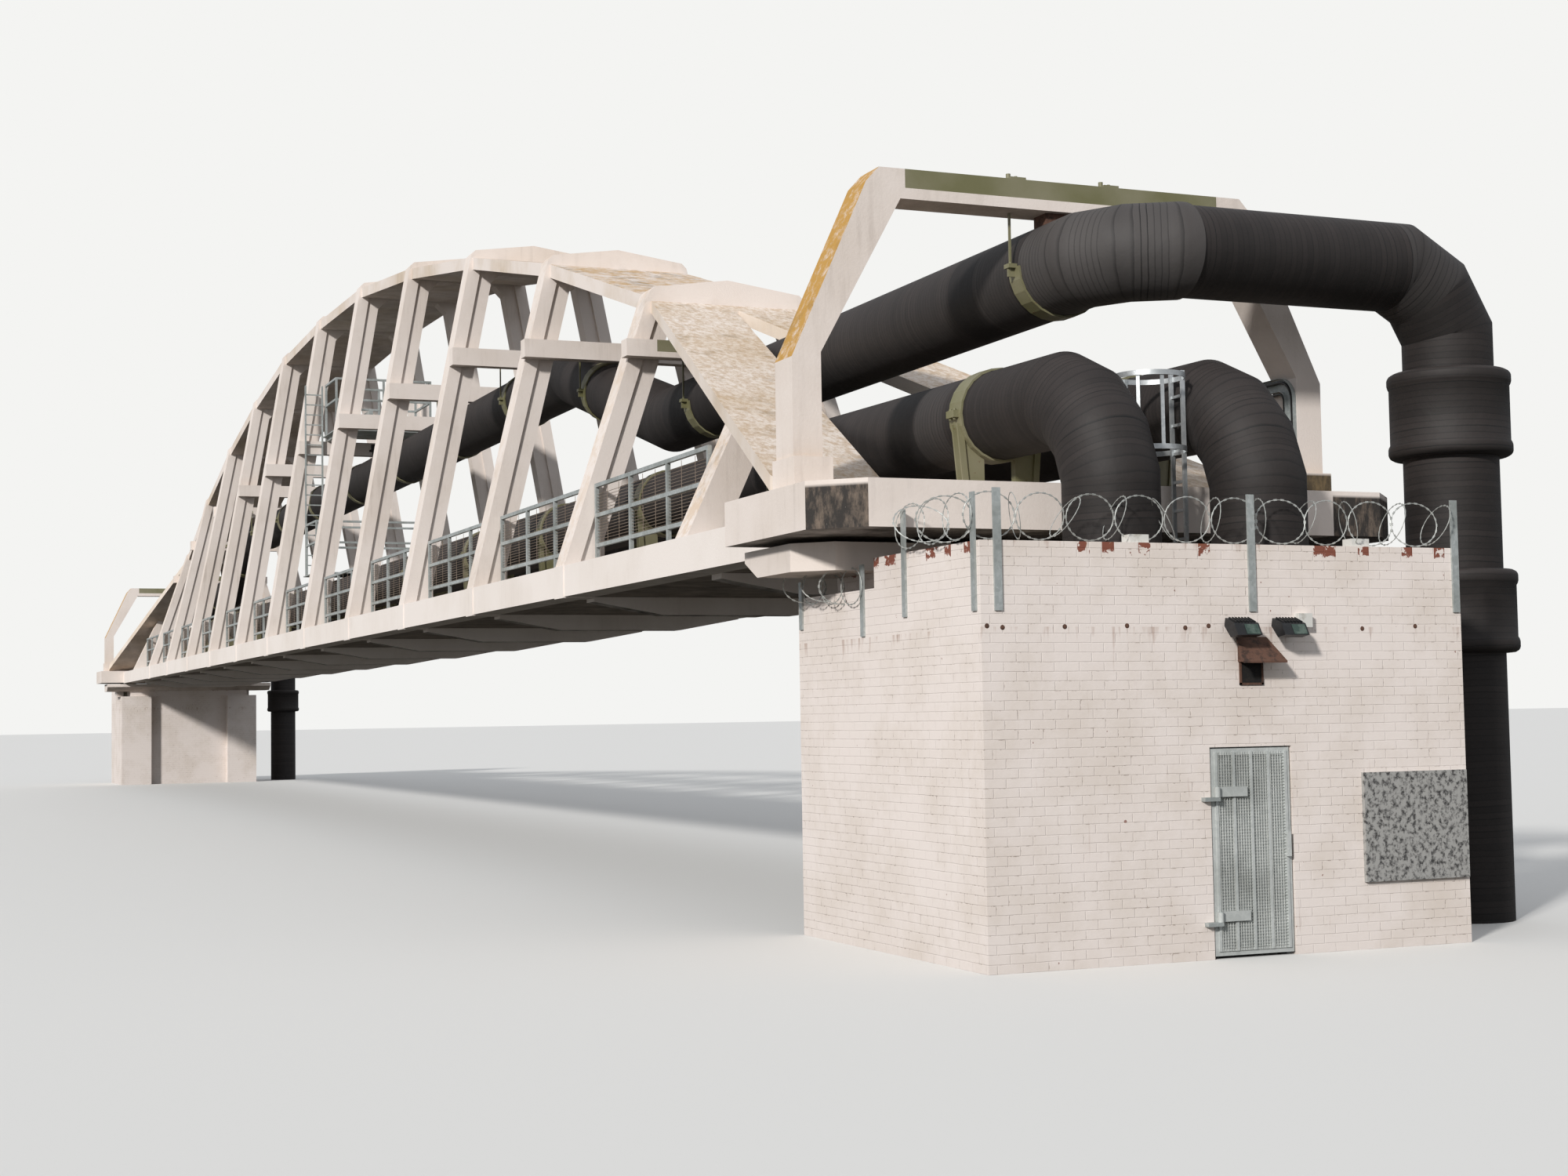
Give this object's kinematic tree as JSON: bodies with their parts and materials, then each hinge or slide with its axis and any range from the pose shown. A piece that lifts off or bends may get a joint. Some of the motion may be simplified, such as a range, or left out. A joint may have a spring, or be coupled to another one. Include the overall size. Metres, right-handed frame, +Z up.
{
  "type": "pipe bridge, 1:2 scale model",
  "caption": "Concrete bowstring bridge that carries large wrapped pipes over a gap, with end portals, pier chambers and walkway, as a half-size model.",
  "frame": {"origin": "ground level, centre of the bounding box in plan", "axes": "+X along the bridge towards the end with the door, +Y across towards the side where the upper pipe comes down, +Z up"},
  "size_m": [34.018, 3.5849, 5.65],
  "materials": {
    "white_concrete": "weathered white masonry paint on concrete",
    "white_brick": "white painted brickwork",
    "roof_concrete": "bare concrete",
    "bearing_rubber": "matt",
    "olive_paint": "satin olive paint",
    "black_wrap": "wound tape wrap, matt",
    "galvanised": "galvanised",
    "black_plastic": "matt",
    "white_plastic": "matt",
    "rust": "rusty",
    "dark_grille": "matt, mottled"
  },
  "bodies": {
    "structure": {"air_valve": "black_wrap", "arch_slab": "white_concrete", "bearings": "bearing_rubber", "caged_ladder": "galvanised", "chamber_end_walls": "white_brick", "chamber_lintel": "white_brick", "chamber_roof_far": "roof_concrete", "chamber_roof_near": "roof_concrete", "chamber_side_walls": "white_brick", "crossbeams": "white_concrete", "deck": "white_concrete", "door_frame": "galvanised", "edge_beam_north": "white_concrete", "edge_beam_south": "white_concrete", "floodlights": "black_plastic", "frame_5": "white_concrete", "frames_0_10": "white_concrete", "frames_1_9": "white_concrete", "frames_2_8": "white_concrete", "frames_3_7": "white_concrete", "frames_4_6": "white_concrete", "gallows_far": "white_concrete", "gallows_hangers": "olive_paint", "gallows_near": "white_concrete", "grille_panel": "dark_grille", "headstock_far": "white_concrete", "headstock_near": "white_concrete", "junction_boxes": "white_plastic", "landing": "galvanised", "lower_pipe_north": "black_wrap", "lower_pipe_south": "black_wrap", "packers": "rust", "pier_cap_far": "white_concrete", "pier_cap_near": "white_concrete", "pier_far": "white_brick", "pier_near": "white_brick", "pipe_hangers": "olive_paint", "pipe_saddles": "olive_paint", "platform_ladder": "galvanised", "platform_rails": "galvanised", "portal_legs_far": "white_concrete", "portal_legs_near": "white_concrete", "railing_north": "galvanised", "railing_south": "galvanised", "short_posts_far": "white_concrete", "short_posts_near": "white_concrete", "sleeves": "black_wrap", "soffit_ribs": "white_concrete", "steel_channels": "olive_paint", "upper_pipe": "black_wrap", "upper_platform": "galvanised", "vent_hood": "rust", "wall_brackets": "galvanised"},
    "door": {"door_near": "galvanised"}
  },
  "joints": [
    {"name": "door_hinge", "type": "hinge", "parent": "structure", "child": "door", "pos_m": [16.968, -0.4025, 0.45], "axis": [0, 0, 1], "range_deg": [-100, 0]}
  ]
}
